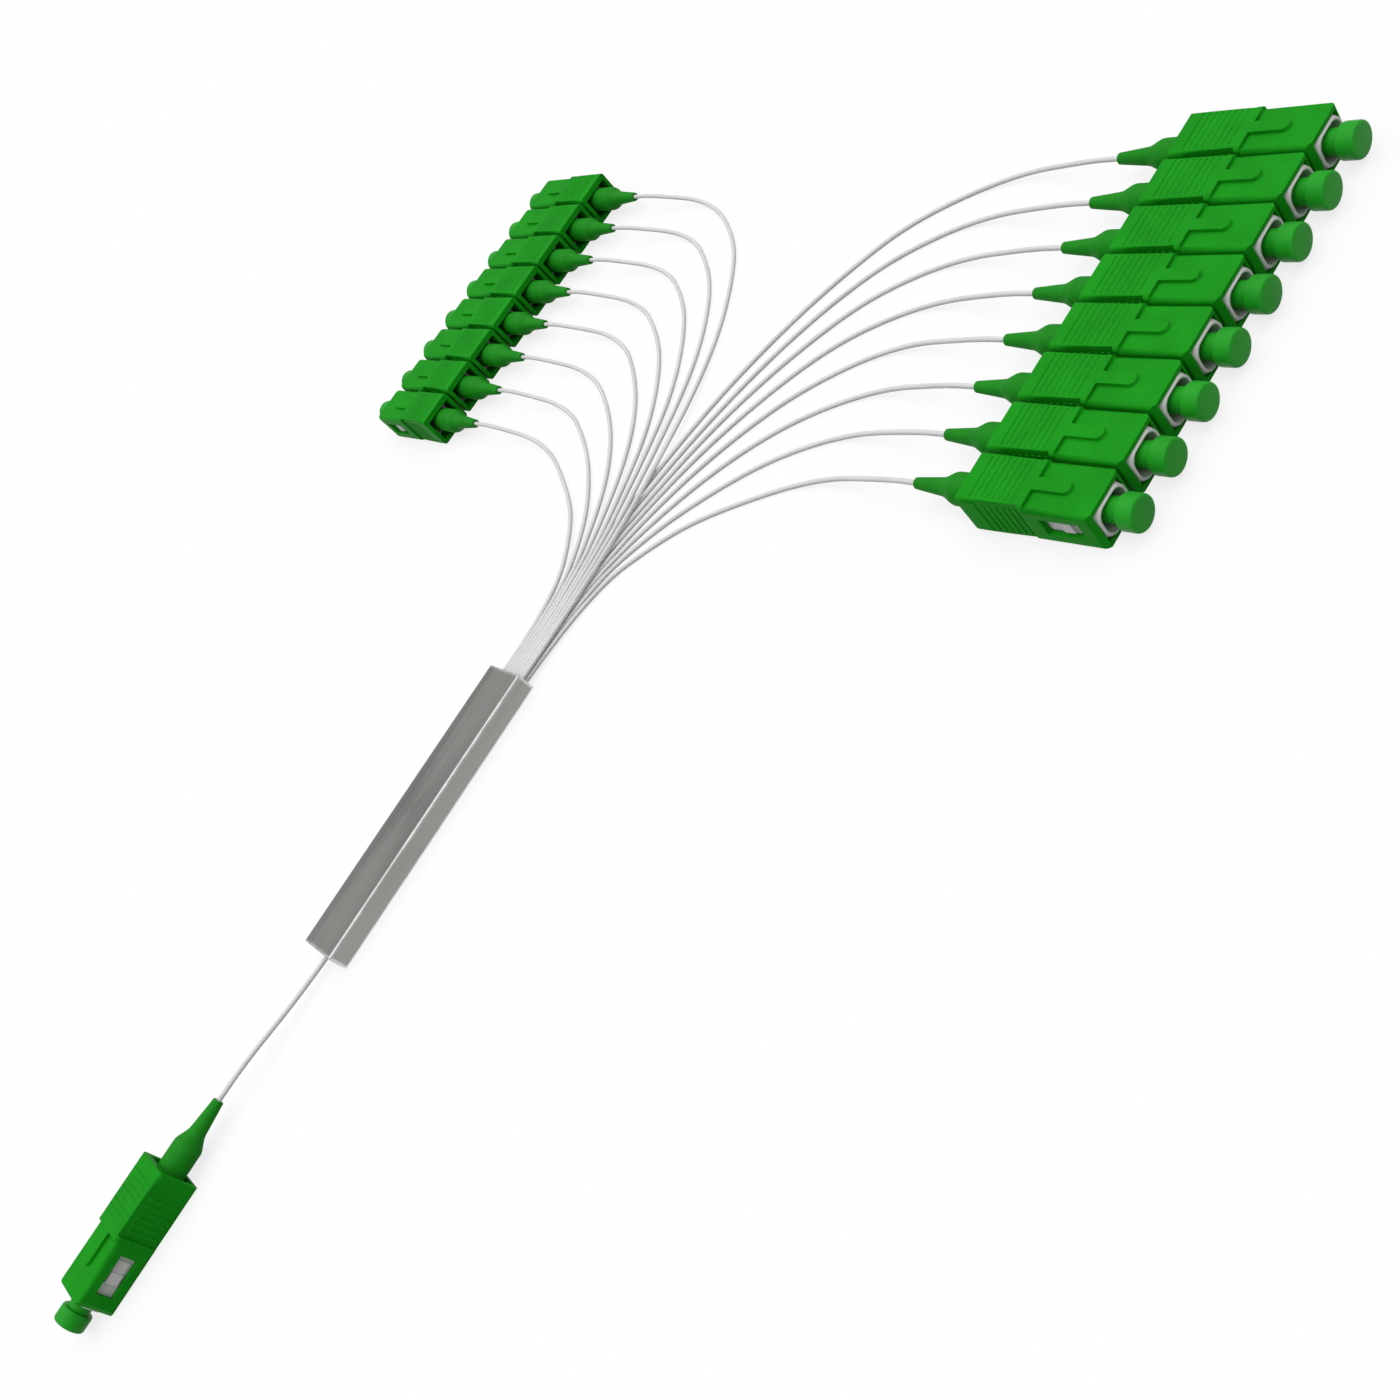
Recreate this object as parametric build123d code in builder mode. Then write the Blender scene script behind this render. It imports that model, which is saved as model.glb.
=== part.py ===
from build123d import *
import math
import os

os.makedirs("parts", exist_ok=True)

# Steel tube: it lies along X on Z = 0, with the input end at -X and the output end at +X
tube_length = 60.0
tube_width = 10.4
tube_height = 4.3
tube_wall = 0.3
tube_corner_radius = 0.5
seal_length = 4.0

# Splitter chip with a fibre array bonded to each end, resting on the tube's floor
chip_length = 16.0
chip_width = 4.2
chip_height = 2.4
input_array_length = 7.0
output_array_length = 9.0
array_width = 4.6
array_height = 2.5
array_lid_length = 5.0
array_base_height = 1.2

# Buffered fibre, and the two layers in which it leaves the tube
fibre_diameter = 0.9
fibre_pitch = 0.95
outputs_per_row = 8
lower_exit_height = 1.1
upper_exit_height = 2.05
input_exit_height = 1.6
floor_gap = 0.02

# Where the connectors lie: boot tips stand this far from the tube's axis and from its middle
row_distance = 69.6
first_plug_x = 82.0
plug_pitch = 9.6
input_boot_tip_x = -60.2

# Strain relief boot: a long taper, a shoulder and a collar
boot_tip_diameter = 1.9
boot_neck_diameter = 3.1
boot_collar_diameter = 5.3
boot_taper_length = 6.4
boot_shoulder_length = 2.4
boot_collar_length = 6.8
bore_clearance = 0.2

# Stop body: a tail that carries the boot, a flange and a barrel inside the plug frame
tail_diameter = 3.4
tail_length = 3.6
stop_flange_diameter = 5.3
stop_flange_length = 1.9
barrel_diameter = 4.6
barrel_length = 5.0
push_clearance = 0.03

# Ferrule with its flange, held forward by the spring
ferrule_diameter = 2.499
ferrule_length = 9.5
ferrule_tip_angle = 8.0
ferrule_chamfer = 0.25
ferrule_flange_diameter = 4.2
ferrule_flange_length = 2.4
stem_diameter = 2.2
stem_length = 4.1
spring_outer_diameter = 3.8
spring_inner_diameter = 2.4
spring_length = 4.5

# Plug frame: white inner housing with a latch block on each narrow side
frame_width = 6.9
frame_height = 5.6
frame_rear_bore = 4.8
frame_mouth_width = 5.9
frame_mouth_height = 4.8
frame_mouth_radius = 1.8
frame_front_depth = 7.7
seat_thickness = 1.2
ferrule_hole_clearance = 0.2
frame_corner_radius = 0.4
latch_height = 0.6
latch_step_height = 0.3
latch_length = 4.2
latch_step_length = 2.0
latch_width = 2.4
latch_from_front = 5.1

# Grip: green outer housing that slides on the plug frame
grip_width = 9.0
grip_height = 7.3
grip_front_length = 11.6
grip_rear_length = 12.8
grip_rear_rise = 0.6
grip_setback = 0.3
grip_clearance = 0.1
grip_corner_radius = 0.7
grip_front_chamfer = 0.8
key_width = 2.2
key_length = 6.4
waist_length = 8.4
waist_rear_depth = 0.15
waist_front_depth = 0.5
waist_from_step = 1.0
rib_count = 6
rib_pitch = 1.2
rib_thickness = 0.6
rib_height = 0.15
window_length = 7.0
window_height = 3.4
window_from_front = 2.8

# Dust cap: a sleeve on the ferrule with a wider head
cap_sleeve_diameter = 4.0
cap_bore_clearance = 0.1
cap_sleeve_length = 8.3
cap_head_diameter = 5.6
cap_head_length = 3.0
cap_head_rounding = 0.5
cap_end_gap = 0.4
cap_neck_shown = 1.6

# Stations along a connector's axis, forward from the boot's tip
shoulder_start = boot_taper_length
collar_start = shoulder_start + boot_shoulder_length
boot_end = collar_start + boot_collar_length
tail_start = boot_end - tail_length
frame_start = boot_end + stop_flange_length
barrel_end = frame_start + barrel_length
flange_start = barrel_end + spring_length
stem_start = flange_start - stem_length
flange_end = flange_start + ferrule_flange_length
seat_end = flange_end + seat_thickness
frame_end = seat_end + frame_front_depth
ferrule_tip = flange_end + ferrule_length
grip_end = frame_end - grip_setback
grip_step = grip_end - grip_front_length
grip_start = grip_step - grip_rear_length
latch_end = frame_end - latch_from_front
window_end = grip_end - window_from_front
head_start = frame_end + cap_neck_shown
head_end = head_start + cap_head_length
sleeve_start = head_start - cap_sleeve_length
cap_bore_end = ferrule_tip + cap_end_gap

plug_axis_height = grip_height / 2
fibre_bore = fibre_diameter + bore_clearance
fibre_rest_height = fibre_diameter / 2 + floor_gap
tube_end = tube_length / 2
cavity_width = tube_width - 2 * tube_wall
cavity_height = tube_height - 2 * tube_wall


def plug_place(x, y, pointing):
    """Where a connector lies: its boot's tip is over (x, y) and its ferrule points the given way."""
    return Location(Plane(origin=(x, y, plug_axis_height), x_dir=pointing, z_dir=(0, 0, 1)))


plug_places = {"input": plug_place(input_boot_tip_x, 0, (-1, 0, 0))}
for number in range(1, outputs_per_row + 1):
    plug_x = first_plug_x + (number - 1) * plug_pitch
    plug_places[f"left_{number}"] = plug_place(plug_x, row_distance, (0, 1, 0))
    plug_places[f"right_{number}"] = plug_place(plug_x, -row_distance, (0, -1, 0))


def write(part, name):
    """Labels a finished piece and writes it under its own name."""
    part.label = name
    export_step(part, f"parts/{name}.step")


def write_copies(part, name):
    """Writes one node that holds a copy of the piece in every connector."""
    with BuildPart() as copies:
        for place in plug_places.values():
            add(part.moved(place))
    write(copies.part, name)


def write_each(part, name):
    """Writes a node of its own for the piece in every connector."""
    for plug, place in plug_places.items():
        side, _, number = plug.partition("_")
        write(part.moved(place), f"{side}_{name}_{number}" if number else f"{side}_{name}")


# Flat steel tube, open at both ends
with BuildPart() as steel_tube:
    with BuildSketch(Plane.YZ.offset(-tube_end)):
        with Locations((0, tube_height / 2)):
            RectangleRounded(tube_width, tube_height, tube_corner_radius)
            RectangleRounded(
                cavity_width, cavity_height, tube_corner_radius - tube_wall, mode=Mode.SUBTRACT
            )
    extrude(amount=tube_length)
write(steel_tube.part, "steel_tube")

# Epoxy plugs that close the tube round the fibres
with BuildPart() as end_seals:
    for seal_start in (-tube_end, tube_end - seal_length):
        with BuildSketch(Plane.YZ.offset(seal_start)):
            with Locations((0, tube_height / 2)):
                RectangleRounded(cavity_width, cavity_height, tube_corner_radius - tube_wall)
        extrude(amount=seal_length)
write(end_seals.part, "end_seals")

# Glass splitter chip, midway along the tube
with BuildPart() as splitter_chip:
    with Locations((0, 0, tube_wall)):
        Box(chip_length, chip_width, chip_height, align=(Align.CENTER, Align.CENTER, Align.MIN))
write(splitter_chip.part, "splitter_chip")

# Fibre arrays: a grooved base with a shorter lid, the lid against the chip
with BuildPart() as fibre_arrays:
    for side, array_length in ((-1, input_array_length), (1, output_array_length)):
        near_end = side * chip_length / 2
        lid_end = near_end + side * array_lid_length
        far_end = near_end + side * array_length
        with BuildSketch(Plane.XZ):
            with BuildLine():
                Polyline(
                    (near_end, tube_wall),
                    (far_end, tube_wall),
                    (far_end, tube_wall + array_base_height),
                    (lid_end, tube_wall + array_base_height),
                    (lid_end, tube_wall + array_height),
                    (near_end, tube_wall + array_height),
                    close=True,
                )
            make_face()
        extrude(amount=array_width / 2, both=True)
write(fibre_arrays.part, "fibre_arrays")

# Boot, turned about the fibre's line, with a socket for the stop body's tail
with BuildPart() as boot:
    with BuildSketch(Plane.XZ):
        with BuildLine():
            Polyline(
                (0, fibre_bore / 2),
                (0, boot_tip_diameter / 2),
                (shoulder_start, boot_neck_diameter / 2),
                (collar_start, boot_collar_diameter / 2),
                (boot_end, boot_collar_diameter / 2),
                (boot_end, tail_diameter / 2 + push_clearance),
                (tail_start, tail_diameter / 2 + push_clearance),
                (tail_start, fibre_bore / 2),
                close=True,
            )
        make_face()
    revolve(axis=Axis.X)
write_copies(boot.part, "boots")

# Stop body, turned: the fibre's buffer ends against its tail
with BuildPart() as stop_body:
    with BuildSketch(Plane.XZ):
        with BuildLine():
            Polyline(
                (tail_start, 0),
                (tail_start, tail_diameter / 2),
                (boot_end, tail_diameter / 2),
                (boot_end, stop_flange_diameter / 2),
                (frame_start, stop_flange_diameter / 2),
                (frame_start, barrel_diameter / 2),
                (barrel_end, barrel_diameter / 2),
                (barrel_end, 0),
                close=True,
            )
        make_face()
    revolve(axis=Axis.X)
write_copies(stop_body.part, "stop_bodies")

# Spring: the sleeve that the closed coils fill, between the stop body and the ferrule's flange
with BuildPart() as spring:
    with BuildSketch(Plane.YZ.offset(barrel_end)):
        Circle(spring_outer_diameter / 2)
        Circle(spring_inner_diameter / 2, mode=Mode.SUBTRACT)
    extrude(amount=spring_length)
write_copies(spring.part, "springs")

# Ferrule with its flange and stem, its tip chamfered and then cut at an angle
with BuildPart() as ferrule:
    with BuildSketch(Plane.XZ):
        with BuildLine():
            Polyline(
                (stem_start, 0),
                (stem_start, stem_diameter / 2),
                (flange_start, stem_diameter / 2),
                (flange_start, ferrule_flange_diameter / 2),
                (flange_end, ferrule_flange_diameter / 2),
                (flange_end, ferrule_diameter / 2),
                (ferrule_tip - ferrule_chamfer, ferrule_diameter / 2),
                (ferrule_tip, ferrule_diameter / 2 - ferrule_chamfer),
                (ferrule_tip, 0),
                close=True,
            )
        make_face()
    revolve(axis=Axis.X)
    tip_low = ferrule_diameter * math.tan(math.radians(ferrule_tip_angle)) / 2
    tip_cut = Plane(
        origin=(ferrule_tip - tip_low, 0, 0),
        z_dir=(math.cos(math.radians(ferrule_tip_angle)), 0, math.sin(math.radians(ferrule_tip_angle))),
    )
    split(bisect_by=tip_cut, keep=Keep.BOTTOM)
write_copies(ferrule.part, "ferrules")

# Plug frame: a square sleeve with a seat for the flange and stepped latch blocks on its narrow sides
with BuildPart() as plug_frame:
    with BuildSketch(Plane.YZ.offset(frame_start)):
        RectangleRounded(frame_width, frame_height, frame_corner_radius)
    extrude(amount=frame_end - frame_start)
    for reach, length in (
        (latch_step_height, latch_length),
        (latch_height, latch_step_length),
    ):
        with Locations((latch_end - length / 2, 0, 0)):
            Box(length, frame_width + 2 * reach, latch_width)
    for bore, bore_start, bore_end in (
        (frame_rear_bore, frame_start, flange_end),
        (ferrule_diameter + ferrule_hole_clearance, flange_end, seat_end),
    ):
        with BuildSketch(Plane.YZ.offset(bore_start)):
            Circle(bore / 2)
        extrude(amount=bore_end - bore_start, mode=Mode.SUBTRACT)
    with BuildSketch(Plane.YZ.offset(seat_end)):
        RectangleRounded(frame_mouth_width, frame_mouth_height, frame_mouth_radius)
    extrude(amount=frame_front_depth, mode=Mode.SUBTRACT)
write_copies(plug_frame.part, "plug_frames")

# Grip: a plain front half, a higher rear half with a ribbed waist, and a key that runs forward
with BuildPart() as grip:
    with BuildSketch(Plane.YZ.offset(grip_start)):
        RectangleRounded(grip_width, grip_height, grip_corner_radius)
    extrude(amount=grip_end - grip_start)
    with BuildSketch(Plane.XY.offset(-grip_height / 2)):
        with Locations((grip_end, grip_width / 2), (grip_end, -grip_width / 2)):
            Rectangle(grip_front_chamfer * math.sqrt(2), grip_front_chamfer * math.sqrt(2), rotation=45)
    extrude(amount=grip_height, mode=Mode.SUBTRACT)
    rear_top = grip_height / 2 + grip_rear_rise
    with BuildSketch(Plane.YZ.offset(grip_start)):
        with Locations((0, rear_top - grip_height / 2)):
            RectangleRounded(grip_width, grip_height, grip_corner_radius)
    extrude(amount=grip_rear_length)
    with BuildSketch(Plane.XY.offset(rear_top)):
        with Locations((grip_step + (key_length - key_width) / 2, 0)):
            SlotOverall(key_length + key_width, key_width)
    extrude(amount=-grip_rear_rise - grip_corner_radius)
    # The waist slants in towards the step, and low ribs cross it
    waist_end = grip_step - waist_from_step
    waist_start = waist_end - waist_length
    waist_slant = (waist_front_depth - waist_rear_depth) / waist_length
    with BuildSketch(Plane.XY.offset(-grip_height / 2)):
        for side in (-1, 1):
            with BuildLine():
                Polyline(
                    (waist_start, side * grip_width / 2),
                    (waist_end, side * grip_width / 2),
                    (waist_end, side * (grip_width / 2 - waist_front_depth)),
                    (waist_start, side * (grip_width / 2 - waist_rear_depth)),
                    close=True,
                )
            make_face()
    extrude(amount=grip_height + grip_rear_rise, mode=Mode.SUBTRACT)
    for rib in range(rib_count):
        rib_x = waist_start + waist_length / 2 + (rib - (rib_count - 1) / 2) * rib_pitch
        rib_top = grip_width / 2 - waist_rear_depth - (rib_x - waist_start) * waist_slant + rib_height
        with Locations((rib_x, 0, 0)):
            Box(rib_thickness, 2 * rib_top, grip_height - 2 * grip_corner_radius)
    with BuildSketch(Plane.YZ.offset(grip_start)):
        Rectangle(frame_width + 2 * grip_clearance, frame_height + 2 * grip_clearance)
    extrude(amount=grip_end - grip_start, mode=Mode.SUBTRACT)
    with Locations((window_end - window_length / 2, 0, 0)):
        Box(window_length, 2 * grip_width, window_height, mode=Mode.SUBTRACT)
write_each(grip.part, "grip")

# Dust cap, turned, with a blind bore for the ferrule
with BuildPart() as cap:
    with BuildSketch(Plane.XZ):
        with BuildLine():
            Polyline(
                (sleeve_start, (ferrule_diameter + cap_bore_clearance) / 2),
                (sleeve_start, cap_sleeve_diameter / 2),
                (head_start, cap_sleeve_diameter / 2),
                (head_start, cap_head_diameter / 2),
                (head_end, cap_head_diameter / 2),
                (head_end, 0),
                (cap_bore_end, 0),
                (cap_bore_end, (ferrule_diameter + cap_bore_clearance) / 2),
                close=True,
            )
        make_face()
    revolve(axis=Axis.X)
    rims = cap.edges().filter_by(GeomType.CIRCLE).filter_by(
        lambda rim: abs(rim.radius - cap_head_diameter / 2) < cap_head_rounding / 2
    )
    fillet(rims, radius=cap_head_rounding)
write_each(cap.part, "cap")

# Output routes seen from above: along the tube's axis, then outward from it. The ribbon's own place
# starts each route and the connector's stop body ends it, and the heights below go with these points.
output_routes = {
    1: [(47.5, 3.3), (63.5, 14.5), (72.0, 24.5), (82.0, 43.0)],
    2: [(47.5, 2.4), (63.0, 9.6), (75.0, 19.2), (84.2, 30.0), (91.6, 44.2)],
    3: [(47.5, 1.4), (65.0, 7.6), (80.3, 16.8), (92.0, 28.4), (101.2, 44.2)],
    4: [(48.0, 0.5), (70.5, 6.9), (86.8, 15.7), (99.3, 26.0), (110.8, 42.0)],
    5: [(50.0, -0.5), (74.0, 5.6), (89.0, 12.2), (102.8, 21.0), (111.8, 30.0), (120.4, 44.0)],
    6: [(52.0, -1.4), (82.0, 5.6), (97.0, 12.0), (110.4, 20.0), (120.3, 28.6), (130.0, 43.0)],
    7: [(54.0, -2.4), (86.0, 4.0), (104.0, 10.8), (118.4, 18.6), (129.0, 27.6), (139.6, 42.5)],
    8: [(55.0, -3.3), (90.0, 1.8), (109.0, 8.6), (124.5, 16.5), (137.0, 25.8), (149.2, 43.5)],
}
# A left fibre keeps above the right ones while they cross, and then comes down to the table
crossing_heights = {
    1: [1.7, 0.8],
    2: [1.7, 1.0],
    3: [1.7, 1.2],
    4: [1.7, 1.3],
    5: [1.7, 1.4],
    6: [1.7, 1.4],
    7: [1.7, 1.4],
    8: [1.7, 1.4],
}
level_before_boot = 6.6
bend_share = 0.45


def output_route(side, number):
    """The points of one output fibre, from the tube's end to the stop body inside the boot."""
    plan = output_routes[number]
    left = side == "left"
    outward = 1 if left else -1
    heights = crossing_heights[number] if left else []
    heights = heights + [fibre_rest_height] * (len(plan) - len(heights))
    ribbon_place = ((outputs_per_row + 1) / 2 - number) * fibre_pitch
    exit_height = upper_exit_height if left else lower_exit_height
    plug_x = first_plug_x + (number - 1) * plug_pitch
    points = [(tube_end, outward * ribbon_place, exit_height)]
    for (x, y), z in zip(plan, heights):
        points.append((x, outward * y, z))
    points.append((plug_x, outward * (row_distance - level_before_boot), plug_axis_height))
    points.append((plug_x, outward * (row_distance + tail_start), plug_axis_height))
    return points


input_route = [
    (-tube_end, 0, input_exit_height),
    (-39.0, 0, 0.9),
    (-55.5, 0, plug_axis_height),
    (input_boot_tip_x - tail_start, 0, plug_axis_height),
]

routes = {"input_fibre": input_route}
for number in output_routes:
    for side in ("left", "right"):
        routes[f"{side}_fibre_{number}"] = output_route(side, number)


def bend_radii(points):
    """The largest radius at each corner of a route that leaves room for the corners beside it."""
    radii = []
    for before, corner, after in zip(points, points[1:], points[2:]):
        first_run = Vector(corner) - Vector(before)
        second_run = Vector(after) - Vector(corner)
        half_turn = math.radians(first_run.get_angle(second_run)) / 2
        radii.append(bend_share * min(first_run.length, second_run.length) / math.tan(half_turn))
    return radii


# Each fibre is a round tube along straight runs joined by tangent arcs
for name, points in routes.items():
    radii = bend_radii(points)
    with BuildPart() as fibre:
        with BuildLine():
            path = FilletPolyline(*points, radius=radii)
        with BuildSketch(Plane(origin=path @ 0, z_dir=path % 0)):
            Circle(fibre_diameter / 2)
        sweep(path=path)
    write(fibre.part, name)
    full_volume = math.pi * fibre_diameter**2 / 4 * path.length
    print(
        name,
        f"length {path.length:.1f} mm,",
        f"volume over section times length {fibre.part.volume / full_volume:.4f},",
        "radii",
        [round(radius, 1) for radius in radii],
    )
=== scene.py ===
# %% [markdown]
# # A fibre splitter in a steel tube
#
# A small flat tube holds a glass chip. The light of one fibre goes in at the back, the chip divides
# it, and sixteen thin fibres carry it on to two rows of green plugs, each under its dust cap.
#
# The solids come from CAD and are loaded as a fixed frame, in metres. This lesson dresses them: it
# lays the fibres as real curves, rounds the mouldings, turns the small parts with a fine profile and
# gives each piece a finish made of nodes. Nothing moves from where the frame has it.

# %% Load the frame
import math
import bmesh
import bpy
from mathutils import Matrix, Vector


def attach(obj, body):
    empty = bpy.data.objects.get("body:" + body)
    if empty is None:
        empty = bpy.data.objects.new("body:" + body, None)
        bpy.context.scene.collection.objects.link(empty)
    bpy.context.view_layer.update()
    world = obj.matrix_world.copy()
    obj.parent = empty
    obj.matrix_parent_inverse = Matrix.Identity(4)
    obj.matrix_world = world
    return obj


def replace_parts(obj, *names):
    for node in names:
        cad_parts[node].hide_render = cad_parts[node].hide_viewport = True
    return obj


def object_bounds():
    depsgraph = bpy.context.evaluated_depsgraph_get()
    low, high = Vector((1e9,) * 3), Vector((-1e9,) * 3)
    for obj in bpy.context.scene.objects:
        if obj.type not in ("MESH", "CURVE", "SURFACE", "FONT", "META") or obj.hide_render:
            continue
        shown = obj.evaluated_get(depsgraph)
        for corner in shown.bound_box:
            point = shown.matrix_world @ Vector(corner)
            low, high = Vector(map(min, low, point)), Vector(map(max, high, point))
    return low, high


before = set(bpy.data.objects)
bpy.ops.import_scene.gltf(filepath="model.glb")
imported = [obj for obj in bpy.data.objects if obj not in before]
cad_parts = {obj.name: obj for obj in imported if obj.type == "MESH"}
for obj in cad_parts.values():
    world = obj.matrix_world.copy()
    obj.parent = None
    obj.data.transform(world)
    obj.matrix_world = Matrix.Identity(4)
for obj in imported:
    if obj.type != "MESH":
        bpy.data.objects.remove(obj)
cad_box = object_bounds()
scene = bpy.context.scene
MM = 0.001
cad_size = [round(v / MM, 1) for v in cad_box[1] - cad_box[0]]
print("CAD nodes:", len(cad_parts), "box in mm:", cad_size)

# %% [markdown]
# ## The camera
#
# The picture was taken from low in front and a little rolled, so that the tube runs up and to the
# right. The place and the three directions below come from fitting the plugs' and the tube's corners
# to the picture. A camera's own axes are right, up and backwards, and they are the columns of its
# matrix.

# %% Set up the camera
camera_place = Vector((-12.15, -242.06, 154.08)) * MM
camera_right = Vector((0.52718, -0.60817, -0.59347))
camera_up = Vector((0.8263, 0.20394, 0.52501))
camera_back = Vector((-0.19826, -0.76716, 0.61005))


def put(name, data):
    """A new object with the given data, in the scene."""
    made = bpy.data.objects.new(name, data)
    scene.collection.objects.link(made)
    return made


camera_data = bpy.data.cameras.new("photo_camera")
camera_data.sensor_width = 36.0
camera_data.lens = 39.82
camera_data.clip_start = 0.01
camera = put("photo_camera", camera_data)
turn = Matrix((camera_right, camera_up, camera_back)).transposed()
camera.matrix_world = Matrix.Translation(camera_place) @ turn.to_4x4()
scene.camera = camera
print("camera looks down by", round(math.degrees(math.asin(camera_back.z)), 1), "degrees")

# %% [markdown]
# ## The fibres
#
# A buffered fibre is a springy thread under a millimetre thick. Sixteen of them leave the tube in two
# layers. The upper layer goes to the left row and passes over the lower one, which goes to the right
# row, and then both lie on the table until they rise into their plugs. A mesh tube could follow this
# line, but a NURBS curve stays smooth at any zoom and needs only the points where the fibre changes
# direction, the ones of the CAD source. A few millimetres added to some of them make the fan
# follow the picture.

# %% Lay the fibres
fibre_diameter = 0.9
fibre_pitch = 0.95
fibre_rest_height = 0.47
fibres_per_row = 8
upper_exit_height = 2.05
lower_exit_height = 1.1
input_exit_height = 1.6
tube_end = 30.0
plug_axis_height = 3.65
row_sides = {"left": 1, "right": -1}
row_distance = 69.6
first_plug_x = 82.0
plug_pitch = 9.6
input_boot_tip_x = -60.2
fibre_end = 12.0
level_before_boot = 6.6

# Each route runs along the tube's axis and outward from it
output_routes = {
    1: [(47.5, 3.3), (63.5, 14.5), (72.0, 24.5), (82.0, 43.0)],
    2: [(47.5, 2.4), (63.0, 9.6), (75.0, 19.2), (84.2, 30.0), (91.6, 44.2)],
    3: [(47.5, 1.4), (65.0, 7.6), (80.3, 16.8), (92.0, 28.4), (101.2, 44.2)],
    4: [(48.0, 0.5), (70.5, 6.9), (86.8, 15.7), (99.3, 26.0), (110.8, 42.0)],
    5: [(50.0, -0.5), (74.0, 5.6), (89.0, 12.2), (102.8, 21.0), (111.8, 30.0), (120.4, 44.0)],
    6: [(52.0, -1.4), (82.0, 5.6), (97.0, 12.0), (110.4, 20.0), (120.3, 28.6), (130.0, 43.0)],
    7: [(54.0, -2.4), (86.0, 4.0), (104.0, 10.8), (118.4, 18.6), (129.0, 27.6), (139.6, 42.5)],
    8: [(55.0, -3.3), (90.0, 1.8), (109.0, 8.6), (124.5, 16.5), (137.0, 25.8), (149.2, 43.5)],
}
# Heights of the first two points of a left fibre, while it passes over the right ones
crossing_heights = {
    1: [1.7, 0.8], 2: [1.7, 1.0], 3: [1.7, 1.2], 4: [1.7, 1.3],
    5: [1.7, 1.4], 6: [1.7, 1.4], 7: [1.7, 1.4], 8: [1.7, 1.4],
}
# How much further along than in CAD the bend of each route lies, so that the fan follows the picture
bend_shifts = {
    "left": [-0.7, -0.7, -0.6, 0.0, 0.0, 0.5, 0.8, 1.2],
    "right": [1.0, 1.3, 1.7, 2.0, 2.3, 2.8, 3.3, 4.0],
}
# The right fibres, in the lower layer, leave the ribbon later than the left ones
ribbon_shifts = {"left": [0.0, 0.0], "right": [3.0, 2.0]}
# The last point before a plug moves by a share of the bend's shift
shift_at_plug = 0.35
# The short input fibre is springy enough to span from the tube to its plug
input_route = [
    (-tube_end, 0, input_exit_height),
    (-38.5, 0, 1.9),
    (-52.0, 0, 3.45),
    (input_boot_tip_x, 0, plug_axis_height),
    (input_boot_tip_x - fibre_end, 0, plug_axis_height),
]


def plug_along(number):
    """How far along the tube's axis the plug with this number stands, in either row."""
    return first_plug_x + (number - 1) * plug_pitch


def output_route(side, number):
    """The points of one output fibre, with one more at the boot's tip, where it runs straight in."""
    outward = row_sides[side]
    plan = output_routes[number]
    early_shifts = ribbon_shifts[side]
    bend_shift = bend_shifts[side][number - 1]
    bend_points = len(plan) - len(early_shifts) - 1
    shifts = early_shifts + [bend_shift] * bend_points + [bend_shift * shift_at_plug]
    plan = [(x + shift, y) for (x, y), shift in zip(plan, shifts)]
    heights = crossing_heights[number] if side == "left" else []
    heights = heights + [fibre_rest_height] * (len(plan) - len(heights))
    exit_height = upper_exit_height if side == "left" else lower_exit_height
    ribbon_place = ((fibres_per_row + 1) / 2 - number) * fibre_pitch
    points = [(tube_end, outward * ribbon_place, exit_height)]
    points += [(x, outward * y, z) for (x, y), z in zip(plan, heights)]
    for y in (row_distance - level_before_boot, row_distance, row_distance + fibre_end):
        points.append((plug_along(number), outward * y, plug_axis_height))
    return points


def lay_fibre(name, points):
    """A round NURBS curve with the given points, in millimetres, as its control points."""
    data = bpy.data.curves.new(name, "CURVE")
    data.dimensions = "3D"
    data.resolution_u = 12
    data.bevel_depth = fibre_diameter / 2 * MM
    data.bevel_resolution = 3
    data.use_fill_caps = True
    spline = data.splines.new("NURBS")
    spline.points.add(len(points) - 1)
    for control, point in zip(spline.points, points):
        control.co = (*(Vector(point) * MM), 1.0)
    spline.order_u = 3
    spline.use_endpoint_u = True
    return put(name, data)


outputs = {f"{side}_{n}": (side, n) for side in row_sides for n in range(1, fibres_per_row + 1)}
plugs = ["input", *outputs]
routes = {"input": input_route}
for plug, (side, number) in outputs.items():
    routes[plug] = output_route(side, number)
fibres = {plug: lay_fibre(f"fibre_{plug}", routes[plug]) for plug in plugs}
print("fibres laid:", len(fibres), "control points:", sum(len(points) for points in routes.values()))

# %% [markdown]
# ## Table and light
#
# The picture has a white ground and hardly a shadow. Faces that look up are bright, and faces that
# look at the viewer are half as bright, so the light comes from above. A broad sun gives that, and a
# pale world fills the shade. The table glows for the camera and for mirrors, which makes the ground
# white without lighting the pieces more, and mirrors see a darker ceiling, as in a room.

# %% Make the table, the sun and the world
sun_from = Vector((0.06, 0.06, 1.0))
sun_strength = 1.65
sun_width = 90.0
shade_strength = 0.38
ceiling_in_mirrors = 0.42
table_colour = 0.24
table_glow = 0.78
table_half = 6.0


def add(tree, kind, inputs=None, **settings):
    """A new node in a tree, with its settings and the values of its inputs."""
    node = tree.nodes.new(kind)
    for name, value in settings.items():
        setattr(node, name, value)
    for name, value in (inputs or {}).items():
        node.inputs[name].default_value = value
    return node


def join(tree, *pairs):
    """Links each output to its input."""
    for output, socket in pairs:
        tree.links.new(output, socket)


def bare_tree(owner):
    """The emptied node tree of a material or a world."""
    owner.use_nodes = True
    owner.node_tree.nodes.clear()
    return owner.node_tree


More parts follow.
